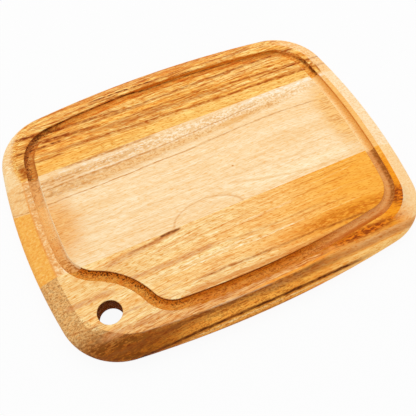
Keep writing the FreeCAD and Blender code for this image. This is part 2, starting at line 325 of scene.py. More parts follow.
class Wood(Graph):
    """One plank's wood. The grain runs along x, and v counts across it, following the lean of the
    growth rings down into the plank. Colours go by their names in the plank's own colours."""

    def __init__(self, name, colours, lean, start=0.0):
        super().__init__(name)
        self.colours = {use: linear(colour) for use, colour in colours.items()}
        texture = self.add("ShaderNodeTexCoord")
        self.place = self.vector("MULTIPLY", texture.outputs["Object"], (1 / MM,) * 3)
        self.x, self.y, height = self.add("ShaderNodeSeparateXYZ", (self.place,)).outputs
        self.depth = self.math("SUBTRACT", TOP, height)
        facing = self.add("ShaderNodeSeparateXYZ", (texture.outputs["Normal"],))
        self.facing_x = facing.outputs["X"]
        self.facing_y = facing.outputs["Y"]
        # How far a surface faces out from the middle of the board, from -1 to 1
        spread = self.vector("DIVIDE", self.place, (HALF_LENGTH, HALF_DEPTH, 1))
        out = self.vector("NORMALIZE", self.vector("MULTIPLY", spread, (1, 1, 0)))
        self.outward = self.measure("DOT_PRODUCT", texture.outputs["Normal"], out)
        self.start = start
        self.v = self.math("MULTIPLY_ADD", self.depth, lean, self.y)
        for size, amount in WAVERS:
            self.v = self.waver(self.v, size, amount)
        self.make_frame()

    def waver(self, value, size, amount):
        """Shifts a value to and fro by slow noise."""
        shift = self.math("SUBTRACT", self.noise(self.place, size, 1.0), 0.5)
        return self.math("MULTIPLY_ADD", shift, amount, value)

    def make_grain(self, bent_v):
        """Noise along the grain, from broad bands to pores, and curl across it."""
        flow = self.join(self.math("ADD", self.x, self.start), bent_v, self.depth)
        self.bands = self.noise(flow, BAND_SIZE)
        self.lines = self.noise(flow, LINE_SIZE, 3.0, 0.65)
        self.fibres = self.noise(flow, FIBRE_SIZE, 2.0, 0.6)
        self.dashes = self.smooth(self.noise(flow, DASH_SIZE, 2.0, 0.6), 0.54, 0.64)
        self.mottle = self.noise(flow, MOTTLE_SIZE, 2.0, 0.6)
        self.pores = self.smooth(self.noise(flow, PORE_SIZE, 1.0), 0.55, 0.65)
        self.specks = self.smooth(self.noise(self.place, SPECK_SIZE, 1.0), 0.52, 0.64)
        self.pebbles = self.noise(self.place, PEBBLE_SIZE, 1.0)
        slanted = self.math("MULTIPLY_ADD", bent_v, CURL_SLANT, self.x)
        self.curl = self.noise(self.join(slanted, bent_v, self.depth), CURL_SIZE)

    def make_frame(self):
        """How far outside the crest line a place lies, counted square to it."""
        reach_x = HALF_LENGTH - CREST_INSET - CREST_CORNER
        reach_y = HALF_DEPTH - CREST_INSET - CREST_CORNER
        past_end = self.straightened(self.x, self.y, reach_x, CREST_END_BOW)
        past_side = self.straightened(self.y, self.x, reach_y, CREST_SIDE_BOW)
        beyond = self.join(self.math("MAXIMUM", past_end, 0.0), self.math("MAXIMUM", past_side, 0.0), 0.0)
        corner = self.measure("LENGTH", beyond)
        inner = self.math("MINIMUM", self.math("MAXIMUM", past_end, past_side), 0.0)
        self.outside = self.math("SUBTRACT", self.math("ADD", corner, inner), CREST_CORNER)

    def straightened(self, across, along, reach, bow):
        """Distance from the middle with a bowed side's fall taken out, past the given reach."""
        fall = self.math("DIVIDE", self.math("MULTIPLY", along, along), 2 * bow)
        return self.math("SUBTRACT", self.math("ADD", self.math("ABSOLUTE", across), fall), reach)

    def base(self, line_share):
        """Bands of two colours, with thin lines of a third."""
        banded = self.smooth(self.bands, 0.4, 0.6, 0.0, BAND_SHARE)
        self.colour = self.mix(banded, self.colours["light bands"], self.colours["middle bands"])
        self.tint(self.smooth(self.lines, 0.46, 0.66, 0.0, line_share), "thin lines")

    def tint(self, mask, use, blend="MIX"):
        self.colour = self.mix(mask, self.colour, self.colours[use], blend)

    def streak(self, start, end, width, strength=1.0, bow=0.0):
        """A mask that follows the grain from start to end, each as x and v, and is bowed sideways
        at its middle. It fades out within the given width to both sides."""
        x0, v0 = start
        x1, v1 = end
        share = self.add("ShaderNodeMapRange", (self.x, x0, x1, 0.0, 1.0)).outputs[0]
        hump = self.math("SUBTRACT", share, self.math("MULTIPLY", share, share))
        line = self.math("MULTIPLY_ADD", share, v1 - v0, v0)
        if bow:
            line = self.math("MULTIPLY_ADD", hump, 4 * bow, line)
        across = self.smooth(self.away(self.v, line), 0.15 * width, width, strength, 0.0)
        fade = self.math("MULTIPLY", hump, 9.0, clamp=True)
        return self.math("MULTIPLY", across, fade)

    def streaks(self, use, lines, broken, within=1.0, halo=None):
        """Streaks of one colour, each line with the values that streak takes. They are broken up
        along the grain, and dark ones can have a halo."""
        mask = self.either(*[self.streak(*line) for line in lines])
        rough = self.smooth(self.mottle, 0.34, 0.6, 1.0 - broken, 1.0)
        mask = self.both(mask, within, rough)
        if halo:
            self.tint(mask, halo)
            mask = self.math("MULTIPLY", mask, mask)
        self.tint(mask, use)

    def oval(self, centre, reach):
        """Distance from an oval's middle, 1 on the oval itself."""
        along = self.math("DIVIDE", self.math("SUBTRACT", self.x, centre[0]), reach[0])
        across = self.math("DIVIDE", self.math("SUBTRACT", self.v, centre[1]), reach[1])
        return self.measure("LENGTH", self.join(along, across, 0.0))

    def patch(self, centre, reach, strength=1.0):
        """An oval mask that is full at its middle and ends in ragged lines along the grain."""
        ragged = self.math("MULTIPLY_ADD", self.lines, 0.8, self.oval(centre, reach))
        return self.smooth(ragged, 0.7, 1.4, strength, 0.0)

    def blotches(self, least=0.0):
        return self.smooth(self.mottle, 0.4, 0.56, least, 1.0)

    def dots(self):
        return self.either(self.specks, self.pores)

    def ends(self, left_start=END_GRAIN[0], left_full=END_GRAIN[1]):
        """End grain on the rim: where the surface falls away to the left and to the right."""
        on_left = self.smooth(self.outside, left_start, left_full, 0.0, END_SHARE)
        on_right = self.smooth(self.outside, *END_GRAIN, 0.0, END_SHARE)
        self.left_end = self.both(on_left, self.smooth(self.facing_x, -0.06, -0.34))
        self.right_end = self.both(on_right, self.smooth(self.facing_x, 0.06, 0.34))
        self.tint(self.left_end, "left end")
        self.tint(self.right_end, "right end")

    def groove(self):
        """The juice groove, its two walls, the narrow lip at its inner edge and the edge of each wall. The
        groove is tinted a little darker, partly by oil in the wood and partly as painted shade in the hollow.
        """
        inside = self.smooth(self.outside, *WELL_INSIDE)
        self.in_groove = self.both(inside, self.band(self.depth, 0.2, 0.9, 8, 9))
        self.inner_wall = self.both(self.in_groove, self.smooth(self.outward, 0.15, 0.6))
        self.outer_wall = self.both(self.in_groove, self.smooth(self.outward, -0.15, -0.6))
        turning = self.both(inside, self.smooth(self.outward, 0.2, 0.5))
        # Where a painted highlight goes: the narrow rounded lip along the groove's inner edge
        self.highlit_lip = self.both(turning, self.band(self.depth, 0.02, 0.1, 0.4, 0.8))
        self.edge = self.band(self.depth, 0.15, 0.5, 1.2, 2.6)
        self.rough = self.smooth(self.mottle, 0.36, 0.58, 0.4, 1.0)
        # Tints the groove a little darker: partly oil in the wood, partly painted shade in the hollow
        self.tint(self.in_groove, "groove", "MULTIPLY")

    def shading(self, noise, low, high, darker, lighter):
        """A factor for the colour that follows noise, round 1, which leaves the colour as it is."""
        return self.smooth(noise, low, high, 1.0 - darker, 1.0 + lighter)

    def weakened(self, factor, share):
        """A factor for the colour, brought nearer to 1."""
        return self.math("MULTIPLY_ADD", self.math("SUBTRACT", factor, 1.0), share, 1.0)

    def fine_grain(self, end_grain, curl, contrast):
        """How the fibres, the mottle and the curl shade the wood, with hatching on the end grain."""
        fine = self.shading(self.fibres, 0.36, 0.62, 0.28 * contrast, 0.14 * contrast)
        mottled = self.shading(self.mottle, 0.34, 0.66, 0.1 * contrast, 0.06 * contrast)
        curled = self.shading(self.curl, 0.35, 0.65, curl, curl)
        hatched = self.shading(self.noise(self.place, HATCH_SIZE), 0.38, 0.6, 0.15, 0.07)
        along = self.both(fine, mottled, curled)
        endwise = self.both(self.weakened(along, 0.4), hatched)
        return self.math("MULTIPLY_ADD", end_grain, self.math("SUBTRACT", endwise, along), along)

    def finish(self, curl, contrast, calm=0.0):
        """Fine grain, pores, gloss and bump. The grain is weaker where the mask for calm wood is set."""
        end_grain = self.either(self.left_end, self.right_end)
        factor = self.weakened(self.fine_grain(end_grain, curl, contrast), self.opposite(calm))
        # Where the wood is darker it is also redder
        shade = self.join(self.math("POWER", factor, 0.25), factor, self.math("POWER", factor, 2.0))
        colour = self.mix(1.0, self.colour, shade, "MULTIPLY")
        open_pores = self.both(self.pores, self.opposite(self.both(end_grain, 0.7)))
        colour = self.mix(open_pores, colour, self.colours["pores"], "MULTIPLY")
        bump = self.add("ShaderNodeBump")
        self.feed(bump.inputs["Strength"], BUMP_SHARE)
        self.feed(bump.inputs["Distance"], BUMP_HEIGHT * MM)
        self.feed(bump.inputs["Height"], self.math("SUBTRACT", self.both(self.fibres, 0.5), open_pores))
        self.feed(self.shader.inputs["Base Color"], colour)
        self.feed(self.shader.inputs["Roughness"], self.smooth(self.lines, 0.2, 0.8, 0.5, 0.62))
        self.feed(self.shader.inputs["Specular IOR Level"], SHEEN)
        self.feed(self.shader.inputs["Normal"], bump.outputs[0])
        return self.material


def dark_wood():
    """Back plank: orange heartwood with brown and grey-brown lines that fan out to the right."""
    wood = Wood("dark_wood", BACK_COLOURS, lean=-0.7)
    past_start = wood.math("MAXIMUM", wood.math("SUBTRACT", wood.x, FAN_START_X), 0.0)
    fan = wood.math("MULTIPLY_ADD", past_start, FAN_GROWTH, 1.0)
    wood.make_grain(wood.math("DIVIDE", wood.math("SUBTRACT", wood.v, FAN_MIDDLE_V), fan))
    dress_back_top(wood)
    draw_back_streaks(wood)
    wood.tint(wood.both(wood.right_end, 0.55), "right end")
    wood.tint(wood.both(wood.left_end, 0.4), "left end")
    beside_right = wood.patch((154, 76), (4, 8), 0.8)
    wood.tint(wood.both(beside_right, wood.blotches()), "blotches beside the right run")
    wood.groove()
    dress_back_wall(wood)
    dress_back_corners(wood)
    return wood.finish(curl=0.12, contrast=1.2, calm=wood.smooth(wood.v, 78, 70, 0.0, 0.5))


def dress_back_top(wood):
    """The back plank's bands, and a left end whose pale tone reaches further in at the front."""
    wood.base(line_share=0.7)
    wood.tint(wood.patch((30, 67), (190, 7), 0.75), "strip at the glue line")
    wood.tint(wood.patch((-120, 72), (50, 12), 0.5), "left of the strip")
    wood.tint(wood.patch((-105, 86), (60, 5), 0.7), "left band")
    wood.tint(wood.patch((85, 96), (60, 7), 0.7), "right band")
    wood.tint(wood.smooth(wood.v, 124, 128, 0.0, 0.6), "back rim")
    wood.tint(wood.both(wood.dashes, wood.smooth(wood.v, 73, 84, 0.1, 0.8)), "dashes")
    left_start = wood.math("MULTIPLY_ADD", wood.y, 0.3, -20.4)
    wood.ends(left_start, wood.math("ADD", left_start, 6.0))


def draw_back_streaks(wood):
    """Rust, brown and dark lines along the back plank's grain."""
    wood.streaks("rust streaks", [
        ((-130, 81), (190, 69), 2.4, 1.0, 1.2),
        ((-90, 88), (75, 85), 4.5, 0.6),
        ((-60, 91), (55, 91), 1.5, 0.9),
        ((55, 87.5), (150, 83), 1.7, 1.0),
        ((90, 81.5), (190, 81), 1.6, 1.0),
        ((-150, 76.5), (-112, 76), 2.0, 0.9),
        ((-20, 110), (90, 109), 2.5, 0.6),
        ((-20, 121.8), (110, 120.6), 1.6, 0.9),
        ((-160, 125), (-90, 126.5), 1.5, 0.7)
    ], broken=0.7)
    wood.streaks("brown streaks", [
        ((-80, 98.2), (150, 101), 2.0, 0.8, 1.4),
        ((-150, 107), (-40, 101), 3.0, 0.9),
        ((-145, 97.5), (-70, 92), 4.0, 0.9),
        ((-85, 119.5), (-40, 119.5), 1.5, 0.8)
    ], broken=0.7, halo="beside brown streaks")
    wood.streaks("dark streaks", [
        ((-75, 122.6), (5, 121.8), 1.5, 1.0),
        ((-160, 91), (-105, 90), 2.2, 0.9),
        ((-152, 97), (-95, 94), 3.0, 0.8),
        ((40, 76), (190, 68), 1.2, 0.6),
        ((120, 81), (190, 81), 1.2, 0.9),
        ((110, 102), (148, 101.5), 3.0, 0.6),
        ((-155, 108), (-100, 104.5), 2.8, 0.9),
        ((-60, 117.5), (60, 116.5), 1.4, 1.0)
    ], broken=0.8, halo="beside dark streaks")


def dress_back_wall(wood):
    """The outer wall of the groove's back run, darkened with painted shade, with a dark line that goes deeper
    to the right: a streak in the wood, deepened by painted shade.
    """
    back_wall = wood.both(wood.outer_wall, wood.smooth(wood.facing_y, -0.4, -0.8))
    # Painted shade: the walls that face in towards the middle of the board are painted darker, broken up by
    # the mottle
    wood.tint(wood.both(wood.outer_wall, wood.rough), "outer wall")
    below_edge = wood.band(wood.depth, 0.7, 1.3, 2.8, 3.6)
    # More painted shade lower down on the back wall, towards the right
    wood.tint(wood.both(back_wall, below_edge, wood.smooth(wood.x, -40, -10, 0.3, 0.85)), "back wall")
    near_top = wood.both(wood.smooth(wood.depth, 1.4, 0.8), wood.smooth(wood.x, -40, -10, 0.0, 0.7))
    wood.tint(wood.both(back_wall, near_top), "top of the back wall")
    line_depth = wood.smooth(wood.x, -35, -10, 1.6, 3.8)
    on_line = wood.both(wood.smooth(wood.away(wood.depth, line_depth), 1.1, 0.4), wood.rough)
    # A dark line along the back wall: a streak in the wood, darkened further as painted shade
    wood.tint(wood.both(back_wall, on_line, wood.smooth(wood.x, 110, 40, 0.5, 1.0)), "streak and painted shade on the back wall")


def dress_back_corners(wood):
    """The groove's two back corners, with painted shade on their walls that face in, and the land and the lip
    beside them, the lip with a painted highlight.
    """
    # Painted shade on the walls that face in at the left corner, with dark blotches in the wood
    left_wall = wood.both(wood.outer_wall, wood.smooth(wood.x, -95, -130, 0.0, 0.95))
    wood.tint(wood.both(left_wall, wood.blotches(0.3)), "blotches in the left corner")
    # Painted shade on the walls that face in at the right corner, broken up by the mottle
    right_side = wood.both(wood.in_groove, wood.smooth(wood.outward, -0.4, -0.8))
    fading_back = wood.both(wood.smooth(wood.x, 115, 135, 0.0, 0.95), wood.smooth(wood.v, 96, 80, 0.45, 1.0))
    wood.tint(wood.both(right_side, fading_back, wood.rough), "painted shade in the right corner")
    wood.tint(wood.both(wood.inner_wall, wood.smooth(wood.x, 120, 140, 0.0, 0.8)), "right inner wall")
    wood.tint(wood.both(wood.inner_wall, wood.smooth(wood.x, -105, -125, 0.0, 0.6)), "left inner wall")
    wood.tint(wood.patch((157.5, 67), (1.8, 9), 0.85), "right land")
    wood.tint(wood.both(wood.patch((-153.5, 71), (5.5, 13)), wood.rough), "left land")
    wood.tint(wood.both(wood.in_groove, wood.smooth(wood.x, -125, -140, 0.0, 0.5)), "left run")
    floor_and_outer_side = wood.both(wood.in_groove, wood.smooth(wood.outward, 0.2, -0.2))
    more_at_left = wood.smooth(wood.x, -90, -130, 0.2, 0.8)
    wood.tint(wood.both(floor_and_outer_side, wood.specks, more_at_left), "specks in the groove")
    # A painted highlight on the lip at the groove's inner edge, towards the right
    wood.tint(wood.both(wood.highlit_lip, wood.smooth(wood.x, 130, 145, 0.0, 0.8)), "painted highlight on the inner lip")


def pale_wood():
    """Middle plank: pale cream sapwood with tan figure along its back half."""
    wood = Wood("pale_wood", MIDDLE_COLOURS, lean=-0.9, start=500)
    rising_right = wood.both(wood.smooth(wood.x, -30, 75), wood.smooth(wood.x, 75, 150, 1.0, 0.2))
    rise = wood.both(rising_right, wood.smooth(wood.y, -20, 30))
    wood.make_grain(wood.math("MULTIPLY_ADD", rise, -5.0, wood.v))
    dress_middle_sides(wood)
    dress_middle_figure(wood)
    dress_middle_ends(wood)
    draw_middle_streaks(wood)
    wood.groove()
    dress_left_run(wood)
    dress_right_run(wood)
    dress_middle_edges(wood)
    return wood.finish(curl=0.04, contrast=0.34)


def at_left(wood):
    return wood.smooth(wood.x, -120, -140)


def at_right(wood):
    return wood.smooth(wood.x, 120, 140)


def dress_middle_sides(wood):
    """The middle plank's ground colour, which glows warmer towards both ends."""
    wood.base(line_share=0.45)
    left_glow = wood.patch((-150, 3), (36, 44), 0.9)
    right_glow = wood.patch((146, 8), (24, 60), 0.9)
    wood.tint(left_glow, "left glow")
    wood.tint(right_glow, "right glow")
    glow = wood.either(left_glow, right_glow)
    wood.tint(wood.both(glow, wood.smooth(wood.fibres, 0.48, 0.6)), "fibres in the glow")
    wood.tint(wood.both(glow, wood.smooth(wood.mottle, 0.5, 0.36, 0.0, 0.6)), "spots in the glow")
    wood.tint(wood.patch((75, -30), (90, 10), 0.8), "pale front")
    land = wood.smooth(wood.outside, *LAND)
    wood.tint(wood.both(land, wood.smooth(wood.x, 130, 150, 0.0, 0.85)), "right land")
    left_land = wood.both(land, wood.smooth(wood.x, -130, -150, 0.0, 0.85))
    dark_pebbles = wood.smooth(wood.pebbles, 0.5, 0.64, 0.0, 0.8)
    pale_pebbles = wood.smooth(wood.pebbles, 0.46, 0.34, 0.0, 0.8)
    wood.tint(left_land, "left land")
    wood.tint(wood.both(left_land, dark_pebbles), "dark pebbles on the left land")
    wood.tint(wood.both(left_land, pale_pebbles), "pale pebbles on the left land")


def dress_middle_figure(wood):
    """Mottled and pebbled strips along the back half, and a tan band that rises to the right."""
    front_strip = wood.patch((-100, 39), (130, 9), 0.85)
    back_strip = wood.patch((-110, 51), (110, 5), 0.8)
    mottled = wood.either(front_strip, back_strip)
    faint = wood.patch((30, 52), (200, 11), 0.6)
    wood.tint(mottled, "mottled strip")
    wood.tint(wood.both(faint, wood.smooth(wood.pebbles, 0.48, 0.6)), "faint dark pebbles")
    wood.tint(wood.both(faint, wood.smooth(wood.pebbles, 0.5, 0.36)), "faint pale pebbles")
    wood.tint(wood.both(mottled, wood.smooth(wood.mottle, 0.48, 0.62, 0.0, 0.8)), "dark mottle")
    wood.tint(wood.both(mottled, wood.smooth(wood.pebbles, 0.46, 0.34, 0.0, 0.55)), "pale mottle")
    rising = wood.streak((-120, 35.5), (120, 47.5), 6.0, 0.9)
    wood.tint(rising, "rising band")
    wood.tint(wood.both(rising, wood.smooth(wood.pebbles, 0.5, 0.62)), "pebbles in the rising band")
    wood.tint(wood.patch((50, 43), (26, 4.5), 0.8), "patch on the rising band")


def dress_middle_ends(wood):
    """The middle plank's end grain, pebbled at the left up to a line and plain behind it."""
    wood.ends()
    behind_line = wood.smooth(wood.v, 26.2, 27.2)
    tone = wood.mix(behind_line, wood.colours["left end"], wood.colours["back of the left end"])
    wood.colour = wood.mix(wood.left_end, wood.colour, tone)
    front_part = wood.both(wood.left_end, wood.smooth(wood.v, 27.2, 26.2, 0.3, 1.0))
    dark_pebbles = wood.smooth(wood.pebbles, 0.5, 0.62, 0.0, 0.45)
    pale_pebbles = wood.smooth(wood.pebbles, 0.42, 0.32, 0.0, 0.4)
    wood.tint(wood.both(front_part, dark_pebbles), "dark pebbles on the left end")
    wood.tint(wood.both(front_part, pale_pebbles), "pale pebbles on the left end")


def draw_middle_streaks(wood):
    """Tan and pale lines on the middle plank, a growth ring at its front and a small knot."""
    wood.streaks("tan streaks", [
        ((-175, 43.2), (-25, 44), 1.7, 0.9),
        ((-190, 28.5), (20, 31), 1.1, 0.9, -1.0),
        ((0, 30.5), (165, 28), 1.1, 0.8, 4.5),
        ((-60, 43), (85, 53), 1.0, 0.8),
        ((-125, 59.8), (-25, 60.2), 2.4, 1.0),
        ((-170, 51), (-100, 50.5), 1.6, 0.7),
        ((-150, 37), (-90, 36), 1.6, 0.6),
        ((-150, 47.5), (-110, 47), 1.2, 0.8)
    ], broken=0.7)
    wood.streaks("faint streak", [((12, -19), (95, -37), 1.8, 0.6, -2.0)], broken=0.5)
    wood.streaks("pale streaks", [
        ((-130, 56), (-50, 55.5), 1.6, 0.5),
        ((60, 58.5), (165, 57.5), 3.6, 0.8),
        ((-110, 45.8), (-50, 45.8), 1.2, 0.5)
    ], broken=0.9)
    off_ring = wood.away(wood.oval((-18, -43), (34, 18)), 1.0)
    wood.tint(wood.smooth(off_ring, 0.0, 0.06, 0.5, 0.0), "growth ring")
    wood.tint(wood.smooth(wood.oval((24, -3.8), (1.2, 0.9)), 1.3, 0.5, 0.0, 0.8), "small knot")


def dress_left_run(wood):
    """The groove's left run: tan and spotted, more so towards its front and its back."""
    run = wood.both(wood.in_groove, at_left(wood))
    wood.tint(run, "left run")
    wood.tint(wood.both(wood.inner_wall, at_left(wood)), "left inner wall")
    speckled = wood.both(run, wood.specks, wood.smooth(wood.mottle, 0.44, 0.6))
    wood.tint(wood.both(speckled, wood.smooth(wood.y, 15, -15, 0.3, 1.0)), "specks in the left run")
    back_part = wood.both(run, wood.smooth(wood.y, 26, 42, 0.0, 0.55))
    back_spots = wood.smooth(wood.mottle, 0.48, 0.62)
    wood.tint(back_part, "back of the left run")
    wood.tint(wood.both(back_part, back_spots), "spots at the back of the left run")
    front_part = wood.both(run, wood.smooth(wood.y, 0, -12, 0.0, 0.5))
    wood.tint(wood.both(front_part, wood.rough), "front of the left run")
    by_front = wood.both(run, wood.smooth(wood.y, -18, -36, 0.0, 0.8))
    front_spots = wood.smooth(wood.mottle, 0.42, 0.58)
    wood.tint(wood.both(by_front, front_spots), "spots at the front of the left run")


def dress_right_run(wood):
    """The groove's right run: painted light makes its inner side pale, and painted shade makes it darker
    outwards.
    """
    inner = wood.colours["painted light on the inner side of the right run"]
    outer = wood.colours["painted shade on the outer side of the right run"]
    # Painted light on the wall that faces out of the board, and painted shade on the wall that faces in
    across = wood.mix(wood.smooth(wood.outward, 0.6, -0.7), inner, outer)
    wood.colour = wood.mix(wood.both(wood.in_groove, at_right(wood)), wood.colour, across)
    # More painted shade along the edge of the outer wall, broken up by the mottle
    outer_edge = wood.both(wood.outer_wall, at_right(wood), wood.edge)
    wood.tint(wood.both(outer_edge, wood.rough), "painted shade on the outer edge of the right run")


def dress_middle_edges(wood):
    """The edges beside the groove that catch the light, and the warm crest at the left."""
    # A painted highlight on the top of the inner wall at the left, where the lip rounds over
    highlit_wall_top = wood.both(wood.inner_wall, at_left(wood), wood.smooth(wood.depth, 3.4, 2.0))
    wood.tint(highlit_wall_top, "painted highlight on the top of the left inner wall")
    # A painted highlight on the lip at the groove's inner edge
    wood.tint(wood.highlit_lip, "painted highlight on the inner lip")
    crest = wood.both(wood.band(wood.outside, -1.8, -0.9, -0.2, 0.5), at_left(wood))
    wood.tint(wood.both(crest, wood.smooth(wood.y, 60, 20, 0.3, 0.7)), "left crest")


def honey_wood():
    """Front plank: honey coloured, more orange to the right, with brown along its front."""
    wood = Wood("honey_wood", FRONT_COLOURS, lean=-0.5, start=1200)
    from_peak = wood.math("SUBTRACT", wood.x, SAG_PEAK_X)
    sag = wood.math("DIVIDE", wood.math("MULTIPLY", from_peak, from_peak), 2 * SAG_RADIUS)
    wood.make_grain(wood.math("ADD", wood.v, sag))
    dress_front_top(wood)
    wood.ends()
    squiggles = wood.smooth(wood.noise(wood.place, SQUIGGLE_SIZE, 1.0), 0.5, 0.62, 0.0, 0.45)
    wood.tint(wood.both(wood.left_end, squiggles), "squiggles on the left end")
    dress_front_rim(wood)
    draw_front_streaks(wood)
    draw_right_streaks(wood)
    dress_front_land(wood)
    wood.groove()
    dress_front_groove(wood)
    dress_sweep(wood)
    dress_hole(wood)
    return wood.finish(curl=0.08, contrast=0.65, calm=wood.smooth(wood.x, 30, 90, 0.0, 0.4))


def dress_front_top(wood):
    """The front plank's ground colour, with orange to the right and stains by the front land."""
    wood.base(line_share=0.55)
    wood.tint(wood.both(wood.dashes, wood.smooth(wood.v, -80, -112, 0.2, 0.8)), "dashes")
    wood.tint(wood.smooth(wood.x, -45, 125, 0.0, 0.88), "right half")
    wood.tint(wood.patch((85, -92), (100, 14), 0.6), "right band")
    wood.tint(wood.both(wood.patch((95, -92), (75, 9), 0.9), wood.blotches()), "blotches in the right band")
    wood.tint(wood.patch((-125, -60), (55, 12), 0.5), "left back")
    wood.tint(wood.smooth(wood.v, -113, -117, 0.0, 0.6), "front strip")
    right_land = wood.both(wood.smooth(wood.outside, *LAND), wood.smooth(wood.x, 110, 130))
    wood.tint(wood.both(right_land, wood.smooth(wood.v, -45, -60, 0.0, 0.9)), "right land")
    stains = wood.either(wood.patch((95, -115), (60, 6)), wood.patch((146, -96), (16, 16)))
    wood.tint(stains, "stains")
    wood.tint(wood.both(stains, wood.blotches()), "blotches in the stains")


def dress_front_rim(wood):
    """The front plank's rim: golden, with dark lines along it, a brown corner at the left and a painted
    highlight along the crest.
    """
    on_rim = wood.smooth(wood.outside, *RIM)
    front_rim = wood.both(on_rim, wood.smooth(wood.v, -120.5, -123))
    wood.tint(wood.both(front_rim, wood.smooth(wood.x, 150, 110, 0.0, 0.9)), "rim")
    upper = wood.both(front_rim, wood.smooth(wood.v, -132, -127))
    wood.tint(wood.both(upper, wood.smooth(wood.x, 30, 100)), "upper rim at the right")
    corner = wood.both(on_rim, wood.smooth(wood.y, -92, -118), wood.smooth(wood.x, -50, -110, 0.0, 0.9))
    wood.tint(corner, "left corner of the rim")
    blotched = wood.both(corner, wood.blotches(), wood.smooth(wood.x, -80, -130))
    wood.tint(blotched, "blotches in the left corner")
    wood.streaks("lines along the rim", [
        ((-190, -124.8), (75, -125), 4.4, 1.0),
        ((-170, -128.5), (90, -129), 3.0, 0.5),
        ((-150, -144.5), (60, -144.5), 1.2, 0.6)
    ], broken=0.4, within=on_rim)
    right_line = [((-20, -127), (160, -126.5), 4.0, 0.8)]
    wood.streaks("line on the rim at the right", right_line, broken=0.5, within=on_rim)
    lower = wood.both(front_rim, wood.smooth(wood.v, -130, -132))
    wood.tint(wood.both(lower, wood.smooth(wood.x, 30, 95, 0.0, 0.95)), "lower rim at the right")
    pale_line = [((-90, -141), (130, -141), 1.4, 1.0)]
    wood.streaks("pale line on the wall", pale_line, broken=0.3, within=on_rim)
    dark_line = [((-160, -137.4), (100, -137.4), 2.4, 1.0)]
    wood.streaks("dark line on the rim", dark_line, broken=0.3, halo="beside the dark line")
    dotted = wood.both(on_rim, wood.smooth(wood.x, 60, 0, 0.0, 0.45))
    wood.tint(wood.both(dotted, wood.dots()), "dots on the rim")
    # A painted highlight: a thin pale line along the crest at the front left, where the edge catches the
    # light
    crest = wood.band(wood.outside, -1.0, -0.2, 0.3, 1.2)
    highlight_span = wood.both(wood.band(wood.x, -130, -90, -20, 30), wood.smooth(wood.y, -90, -100))
    wood.tint(wood.both(crest, highlight_span, wood.smooth(wood.lines, 0.6, 0.4, 0.1, 0.6)), "painted highlight on the crest")


def draw_front_streaks(wood):
    """The front plank's lines, from the rose ones by the hole to the fine ones in its middle."""
    wood.streaks("rose streaks", [
        ((-165, -74), (-118, -74), 4.0, 0.9),
        ((-115, -70), (-20, -71), 3.5, 0.8),
        ((-140, -96), (-80, -95), 1.6, 0.9),
        ((-150, -109), (-70, -110), 5.0, 0.8),
        ((-90, -118), (60, -118), 2.4, 0.7),
        ((-125, -52), (-45, -43), 3.4, 0.9)
    ], broken=0.6)
    wood.streaks("brown streaks", [
        ((-100, -48), (-45, -42), 2.0, 0.7),
        ((-60, -94.5), (80, -96), 1.6, 0.8),
        ((60, -97), (140, -101), 1.8, 0.9),
        ((-20, -73), (85, -74), 1.2, 0.4),
        ((-190, -93.5), (-135, -97), 1.2, 0.7)
    ], broken=0.7)
    wood.streaks("orange streaks", [
        ((-80, -55), (0, -47), 0.9, 0.8),
        ((-65, -60), (20, -54), 0.8, 0.8),
        ((-45, -64.5), (30, -61.5), 0.9, 0.9)
    ], broken=0.9)
    wood.streaks("pale streaks", [
        ((-90, -77), (15, -77.5), 1.3, 0.8),
        ((-75, -81), (60, -81), 1.1, 0.9),
        ((-45, -61), (60, -60), 1.6, 0.5)
    ], broken=0.5)
    dark_streak = [((-68, -43.8), (-46, -42.8), 1.8, 0.9)]
    wood.streaks("dark streak", dark_streak, broken=0.3, halo="beside the dark streak")
    wood.streaks("streak beside the groove", [((-75, -103), (100, -104), 3.2, 0.85)], broken=0.2)


def draw_right_streaks(wood):
    """Golden and rust lines in the orange half of the front plank."""
    wood.streaks("golden streaks", [
        ((55, -52), (125, -50), 1.0, 0.8),
        ((70, -44.5), (135, -44), 0.9, 0.7),
        ((50, -67), (105, -66), 1.0, 0.7),
        ((45, -82), (115, -82.5), 1.0, 0.8)
    ], broken=0.4)
    wood.streaks("rust streaks", [
        ((60, -48), (135, -46.5), 0.9, 0.7),
        ((55, -58), (120, -56.5), 0.9, 0.7),
        ((50, -77), (105, -77.5), 1.0, 0.8),
        ((55, -90), (140, -91), 1.1, 0.9)
    ], broken=0.5)


def dress_front_land(wood):
    """The narrow land between the front run of the groove and the crest."""
    at_front = wood.smooth(wood.v, -108, -112)
    land = wood.both(at_front, wood.smooth(wood.outside, 0.2, -0.6), wood.smooth(wood.x, 75, 45))
    dark_fibres = wood.smooth(wood.fibres, 0.5, 0.6, 0.0, 0.9)
    pale_fibres = wood.smooth(wood.fibres, 0.47, 0.39, 0.0, 0.9)
    wood.tint(wood.both(land, wood.smooth(wood.x, 0, 40, 0.0, 0.6)), "middle of the land")
    wood.tint(wood.both(land, dark_fibres), "dark fibres on the land")
    wood.tint(wood.both(land, pale_fibres), "pale fibres on the land")
    by_crest = wood.both(wood.band(wood.outside, -2.4, -1.6, -0.4, 0.2), at_front)
    middle = wood.both(wood.smooth(wood.x, -35, 5, 0.0, 0.9), wood.smooth(wood.x, 75, 50))
    wood.tint(wood.both(by_crest, middle), "land at the crest")


